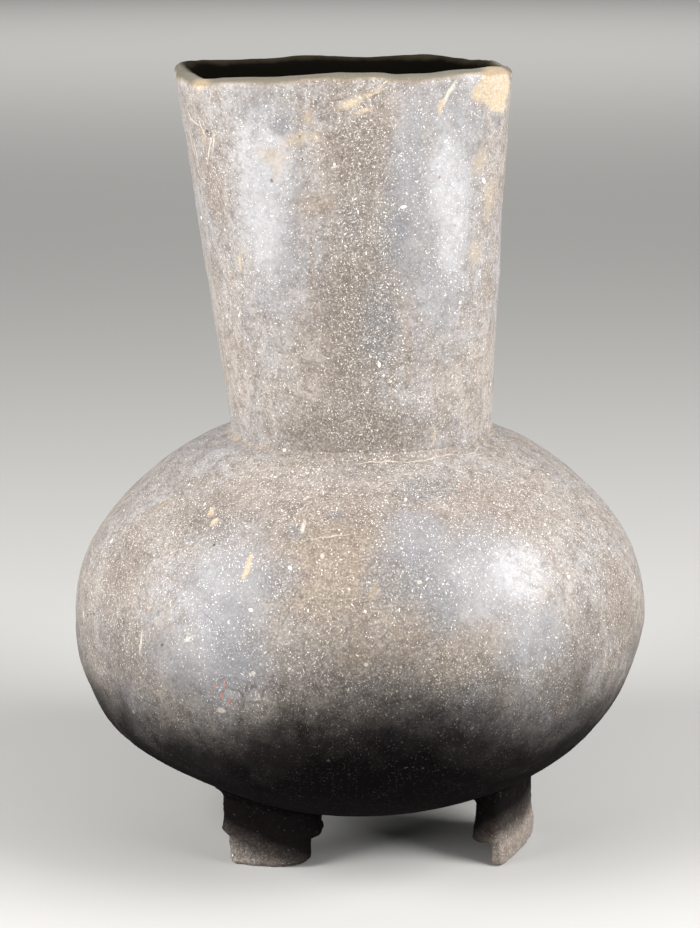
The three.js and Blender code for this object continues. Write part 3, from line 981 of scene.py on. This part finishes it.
def lay_patches(tree, place, colour, patches, shown=1.0):
    """Lays patches of other tones over a colour, as far as they are shown, and gives each one's pattern"""
    patterns = []
    for size, detail, start, end, density, shade in patches:
        scale = [1 / length for length in size]
        scaled = add(tree, "VectorMath", {0: place, 1: scale}, operation="MULTIPLY")
        look = {"Vector": scaled, "Scale": 1, "Detail": detail, "Roughness": PATCH_ROUGHNESS}
        pattern = add(tree, "TexNoise", look)
        most = add(tree, "Math", {0: shown, 1: density}, operation="MULTIPLY")
        reach = {"Value": pattern, "From Min": start, "From Max": end, "To Max": most}
        colour = coat(tree, colour, [(add(tree, "MapRange", reach), shade)])
        patterns.append(pattern)
    return colour, patterns


def lay_stains(tree, colour, patchy):
    """Lays the noted stains, with painted highlights and painted shade among them, over a colour, with edges
    frayed by a pattern
    """
    for noted, shade, density in STAINS:
        cover = add(tree, "Attribute", attribute_name=noted, out="Fac")
        frayed = add(tree, "Math", {0: patchy, 1: STAIN_FRAY, 2: cover}, operation="MULTIPLY_ADD")
        reach = {"Value": frayed, "From Min": STAIN_EDGE[0], "From Max": STAIN_EDGE[1], "To Max": density}
        colour = coat(tree, colour, [(add(tree, "MapRange", reach), shade)])
    return colour


def soot_and_shade_over(tree, place, foot):
    """How dark a place is laid. On the wall it is soot and painted shade from below, highest at the front
    where the lights reach least. On a foot it is painted shadow of the globe, and the toe is left clean.
    """
    if foot:
        flat = add(tree, "VectorMath", {0: place, 1: (1, 1, 0)}, operation="MULTIPLY")
        radius = add(tree, "VectorMath", {0: flat}, operation="LENGTH", out="Value")
        inwards = add(tree, "Math", {0: FOOT_SHADOW_RADIUS, 1: radius}, operation="SUBTRACT")
        sinks = add(tree, "Math", {0: inwards, 1: FOOT_SHADOW_INWARD}, operation="MULTIPLY")
        swing, stops = FOOT_SHADOW_SWING, FOOT_SHADOW
    else:
        lobe = add(tree, "Attribute", attribute_name="front_shade_lobe", out="Fac")
        sinks = add(tree, "Math", {0: lobe, 1: -FRONT_SHADE_RISE}, operation="MULTIPLY")
        swing, stops = WALL_SOOT_AND_SHADE_SWING, WALL_SOOT_AND_SHADE
    look = {"Vector": place, "Scale": 1 / SOOT_AND_SHADE_PATCHES, "Detail": 5, "Roughness": PATCH_ROUGHNESS}
    uneven = add(tree, "TexNoise", look)
    moved = add(tree, "MapRange", {"Value": uneven, "To Min": -swing, "To Max": swing})
    sinks = add(tree, "Math", {0: sinks, 1: moved}, operation="ADD")
    height = add(tree, "SeparateXYZ", {0: place}, out="Z")
    level = add(tree, "Math", {0: height, 1: sinks}, operation="ADD")
    share = add(tree, "Math", {0: level, 1: 1 / SOOT_AND_SHADE_SPAN}, operation="MULTIPLY")
    return add(tree, "ValToRGB", {"Fac": share}, stops=stops)


def lay_shell(tree, place, colour, shell_share, sooted_and_shaded):
    """Crushed shell, thicker in some patches than in others. Gives the cover of its plates as well."""
    shell_sooted_and_shaded = add(tree, "Math", {0: sooted_and_shaded, 1: SHELL_UNDER_SOOT_AND_SHADE}, operation="MULTIPLY")
    crowd = add(tree, "TexNoise", {"Vector": place, "Scale": 1 / SHELL_CROWD, "Detail": 3})
    for noted, shift in SHELL_SHIFTS:
        cover = add(tree, "Attribute", attribute_name=noted, out="Fac")
        crowd = add(tree, "Math", {0: cover, 1: shift, 2: crowd}, operation="MULTIPLY_ADD")
    least, most = CROWD_REACH
    for cell, half_length, half_width, part, opaque in SHELL_SIZES:
        thin, thick = shell_share * part * SHELL_THIN, shell_share * part * SHELL_THICK
        reach = {"Value": crowd, "From Min": least, "From Max": most, "To Min": thin, "To Max": thick}
        share = add(tree, "MapRange", reach)
        cover, own = flecks(tree, place, share, cell, half_length, half_width)
        shell = coat(tree, SHELL_CREAM, [(own, SHELL), (shell_sooted_and_shaded, SOOT_AND_SHADE_BLACK)])
        cover = add(tree, "Math", {0: cover, 1: opaque}, operation="MULTIPLY")
        colour = coat(tree, colour, [(cover, shell)])
    return colour, cover


def lay_lip_and_bore(tree, colour, patchy, cream):
    """The lip's pale band, where no cream sticks, and the bore, blackened by smoke and by painted shade, with
    its browner rim
    """
    lip = add(tree, "Attribute", attribute_name="lip", out="Fac")
    bore = add(tree, "Attribute", attribute_name="bore", out="Fac")
    frayed = add(tree, "Math", {0: patchy, 1: LIP_FRAY, 2: lip}, operation="MULTIPLY_ADD")
    layers = []
    for start, end, density in LIP_LAYERS:
        reach = {"Value": frayed, "From Min": start, "From Max": end, "To Max": density}
        layers.append(add(tree, "MapRange", reach))
    ochre, band, rim = layers
    bare = add(tree, "Math", {0: 1, 1: cream}, operation="SUBTRACT")
    band = add(tree, "Math", {0: band, 1: bare}, operation="MULTIPLY")
    inside = coat(tree, BORE_SMOKE_AND_SHADE, [(rim, BORE_OLIVE)])
    return coat(tree, colour, [(ochre, LIP_OCHRE), (band, LIP_GREY), (bore, inside)]), bore


def make_clay(name, first, second, shell_share, roughness, marked=(0, 0), foot=False):
    """Unglazed clay full of crushed shell, smoke-greyed in the firing, and darker below with soot and painted
    shade.

    first and second are the two tones that it drifts between. It takes the marks between two heights.
    """

    def marks_on(place, marks):
        return marks_over(tree, place, [mark for mark in marks if marked[0] <= mark[1] < marked[1]])

    material = bpy.data.materials.new(name)
    material.use_nodes = True
    tree = material.node_tree
    where = add(tree, "TexCoord", out="Object")
    place = add(tree, "VectorMath", {0: where, "Scale": 1 / MM}, operation="SCALE")
    ragged = shaken(tree, place, RAGGED)
    wavering = shaken(tree, place, WAVERING)

    # The fired paste: slow changes of tone, mottling, streaks drawn down the wall, stains with painted
    # highlights and painted shade among them, and grain
    colour, (_, patchy, _, _) = lay_patches(tree, place, first, [(*SLOW_DRIFT, second), *DRIFTS])
    colour = lay_stains(tree, colour, patchy)
    highlight_tint = add(tree, "Attribute", attribute_name="highlight_tint", out="Fac")
    unveiled = add(tree, "Math", {0: highlight_tint, 1: -HIGHLIGHT_VEIL, 2: 1}, operation="MULTIPLY_ADD")
    colour, (_, grain, fine_grain) = lay_patches(tree, place, colour, GRAINS, unveiled)
    # Soot and painted shade darken the lower wall, and painted shadow of the globe darkens the feet
    sooted_and_shaded = soot_and_shade_over(tree, place, foot)
    colour = coat(tree, colour, [(sooted_and_shaded, SOOT_AND_SHADE_BLACK)])
    colour, plates = lay_shell(tree, place, colour, shell_share, sooted_and_shaded)

    # Rust-coloured grits, pits and cracks
    rust, _ = flecks(tree, place, *RUSTY_GRITS)
    pits, _ = flecks(tree, place, *PITS)
    webs = {"Vector": ragged, "Scale": 1 / CRACKLE_CELL}
    webs = add(tree, "TexVoronoi", webs, feature="DISTANCE_TO_EDGE", out="Distance")
    edge = {"Value": webs, "From Min": CRACKLE_LINE[0], "From Max": CRACKLE_LINE[1]}
    web = add(tree, "MapRange", edge)
    crackled = add(tree, "Math", {0: web, 1: marks_on(ragged, CRACKLED)}, operation="MULTIPLY")
    fine = add(tree, "Math", {0: marks_on(wavering, CRACK_MARKS), 1: CRACK_COVER}, operation="MULTIPLY")
    cracks = add(tree, "Math", {0: crackled, 1: fine}, operation="MAXIMUM")

    # What sticks to the wall: it lies on the grit, and soot and painted shade hide it
    cream = marks_on(ragged, CREAM_MARKS)
    chalk = marks_on(wavering, (*CHALK_MARKS, *CREASE_MARKS))
    thin = add(tree, "Math", {0: marks_on(ragged, TAN_MARKS), 1: THIN_CREAM_COVER}, operation="MULTIPLY")
    red = marks_on(wavering, RED_MARKS)
    gritty = {"Value": grain, "From Min": GRITTY[0], "From Max": GRITTY[1], "To Min": GRITTY[2]}
    gritty = add(tree, "MapRange", gritty)
    clear = add(tree, "MapRange", {"Value": sooted_and_shaded, "To Min": 1, "To Max": SEEN_THROUGH_SOOT_AND_SHADE})
    showing = add(tree, "Math", {0: clear, 1: gritty}, operation="MULTIPLY")
    crumbs = {"Value": fine_grain, "From Min": CRUMBS[0], "From Max": CRUMBS[1], "To Max": CRUMBS[2]}
    crumbly = coat(tree, CREAM, [(add(tree, "MapRange", crumbs), CHALK)])
    stuck = (
        (rust, RUST),
        (pits, CRACK),
        (cracks, CRACK),
        (thin, CREAM),
        (chalk, CHALK),
        (cream, crumbly),
        (red, FIRED_RED),
    )
    for factor, shade in stuck:
        shown = add(tree, "Math", {0: factor, 1: showing}, operation="MULTIPLY")
        colour = coat(tree, colour, [(shown, shade)])
    colour, bore = lay_lip_and_bore(tree, colour, patchy, cream)

    # Relief: trowelled swells, paste grain, and what stands up or is sunk
    swells = add(tree, "TexNoise", {"Vector": place, "Scale": 1 / SWELL_SIZE, "Detail": 3})
    total = add(tree, "Math", {0: swells, 1: SWELL_DEPTH}, operation="MULTIPLY")
    for factor, depth in ((grain, GRAIN_DEPTH), (plates, PLATE_DEPTH), (pits, PIT_DEPTH)):
        total = add(tree, "Math", {0: factor, 1: depth, 2: total}, operation="MULTIPLY_ADD")
    bump = add(tree, "Bump", {"Height": total, "Distance": MM})

    # Burnished, but the polish is uneven, and lost under cream, under the soot and painted shade, and inside
    # the bore
    best, worst = POLISH_PATCHES
    least, most = (roughness + swing for swing in POLISH_SWING)
    polish = {"Value": patchy, "From Min": best, "From Max": worst, "To Min": least, "To Max": most}
    dull = add(tree, "MapRange", polish)
    for factor, rough in ((cream, CREAM_ROUGHNESS), (sooted_and_shaded, SOOT_AND_SHADE_ROUGHNESS), (bore, BORE_ROUGHNESS)):
        dull = add(tree, "Mix", {0: factor, 2: dull, 3: rough}, data_type="FLOAT")
    smoke_and_shade = add(tree, "Math", {0: sooted_and_shaded, 1: bore}, operation="MAXIMUM")
    gloss = {"Value": smoke_and_shade, "To Min": BURNISHED_SHEEN, "To Max": SOOT_AND_SHADE_SHEEN}
    sheen = add(tree, "MapRange", gloss)
    shader = tree.nodes["Principled BSDF"]
    ends = {"Base Color": colour, "Roughness": dull, "Specular IOR Level": sheen, "Normal": bump}
    for socket, value in ends.items():
        tree.links.new(value, shader.inputs[socket])
    return material


# The walls were rubbed with a pebble before firing, which gives them a low, patchy sheen. The luting clay
# was smeared on by finger and is matte. The feet are worn, so they are matte and show less shell.
BURNISHED = dict(shell_share=0.8, roughness=0.54)
SMEARED = dict(shell_share=0.6, roughness=0.6)
WORN = dict(shell_share=0.2, roughness=0.7)
ON_GLOBE = (0, JOIN_HEIGHT + 12)
ON_NECK = (JOIN_HEIGHT, JOIN_HEIGHT + 130)
ON_JOINT = (JOIN_HEIGHT - 6, JOIN_HEIGHT + 12)
globe_clay = make_clay("burnished_shell_tempered_clay", TAUPE, GREY, marked=ON_GLOBE, **BURNISHED)
neck_clay = make_clay("burnished_neck_clay", TAUPE, GREY, marked=ON_NECK, **BURNISHED)
luting_clay = make_clay("smeared_luting_clay", LUTE_BROWN, TAUPE, marked=ON_JOINT, **SMEARED)
foot_clay = make_clay("worn_shell_tempered_clay", SHADED_FOOT_TAN, BROWN, foot=True, **WORN)

make_globe(globe_clay)
make_neck(neck_clay)
make_neck_bead(luting_clay)
for foot in FEET:
    make_foot(foot, foot_clay)
    make_foot_bead(foot, luting_clay)


# The floor, the light and the camera

# The floor and all that is around the bottle are in metres
FLOOR_HALF = 12.0
FLOOR_GREY = linear("#a5a4a1")
FLOOR_ROUGHNESS = 0.9  # dull paint, which mirrors nothing
bpy.ops.object.select_all(action="DESELECT")
bpy.ops.mesh.primitive_plane_add(size=2 * FLOOR_HALF, location=(0, 0, 0))
floor = bpy.context.active_object
floor.name = "floor"
pale = bpy.data.materials.new("pale_painted_floor")
pale.use_nodes = True
paint = pale.node_tree.nodes["Principled BSDF"]
paint.inputs["Base Color"].default_value = FLOOR_GREY
paint.inputs["Roughness"].default_value = FLOOR_ROUGHNESS
floor.data.materials.append(pale)

LIGHT_DISTANCE = 1.1
LIGHT_SIZE = (0.62, 0.9)
AIM = Vector((0, 0, 0.15))
SOFT_BOXES = (  # direction, rise above level and power
    ("left_soft_box", -59, 21, 32.5),
    ("right_soft_box", 62, 25, 33.5),
)
BACKDROP_LIGHT_SIZE = (6.0, 5.0)
BACKDROP_POWER = 260
BACKDROP_AIM = Vector((0, 6.2, 0))
BACKDROP_AWAY = Vector((0, -1.4, 3.4))


def add_soft_box(name, size, power, aim, away):
    """A rectangular light that faces aim from away, a distance and direction in one"""
    light = bpy.data.lights.new(name, "AREA")
    light.shape = "RECTANGLE"
    light.size, light.size_y = size
    light.energy = power
    lamp = bpy.data.objects.new(name, light)
    lamp.location = aim + away
    lamp.rotation_euler = away.to_track_quat("Z", "Y").to_euler()
    bpy.context.scene.collection.objects.link(lamp)


for name, direction, rise, power in SOFT_BOXES:
    turn, up = math.radians(direction), math.radians(rise)
    away = Vector((math.sin(turn) * math.cos(up), -math.cos(turn) * math.cos(up), math.sin(up)))
    add_soft_box(name, LIGHT_SIZE, power, AIM, away * LIGHT_DISTANCE)
add_soft_box("backdrop_soft_box", BACKDROP_LIGHT_SIZE, BACKDROP_POWER, BACKDROP_AIM, BACKDROP_AWAY)

# The room: light from the ceiling, and little from the walls
CEILING = 0.27
WALLS = 0.06
WALL_TOP = 0.1  # the ceiling's light sets in from this height of the view, where 0 is level and 1 is up
world = bpy.data.worlds.new("studio")
bpy.context.scene.world = world
world.use_nodes = True
room = world.node_tree
outlook = add(room, "SeparateXYZ", {0: add(room, "TexCoord", out="Generated")}, out="Z")
light = {"Value": outlook, "From Min": WALL_TOP, "To Min": WALLS, "To Max": CEILING}
glow = add(room, "MapRange", light, interpolation_type="SMOOTHSTEP")
room.links.new(glow, room.nodes["Background"].inputs["Strength"])
room.nodes["Background"].inputs["Color"].default_value = (1, 1, 1, 1)
bpy.context.scene.view_settings.view_transform = "Standard"

# The camera stands where the photograph's outline of the bottle puts it
CAMERA_PLACE = (-0.00272, -0.6808, 0.2662)
CAMERA_TILT = 77.22
LENS = 93.16
SENSOR = 36.0
camera_data = bpy.data.cameras.new("camera")
camera_data.lens = LENS
camera_data.sensor_fit = "VERTICAL"
camera_data.sensor_height = SENSOR
camera = bpy.data.objects.new("camera", camera_data)
camera.location = CAMERA_PLACE
camera.rotation_euler = (math.radians(CAMERA_TILT), 0, 0)
bpy.context.scene.collection.objects.link(camera)
bpy.context.scene.camera = camera
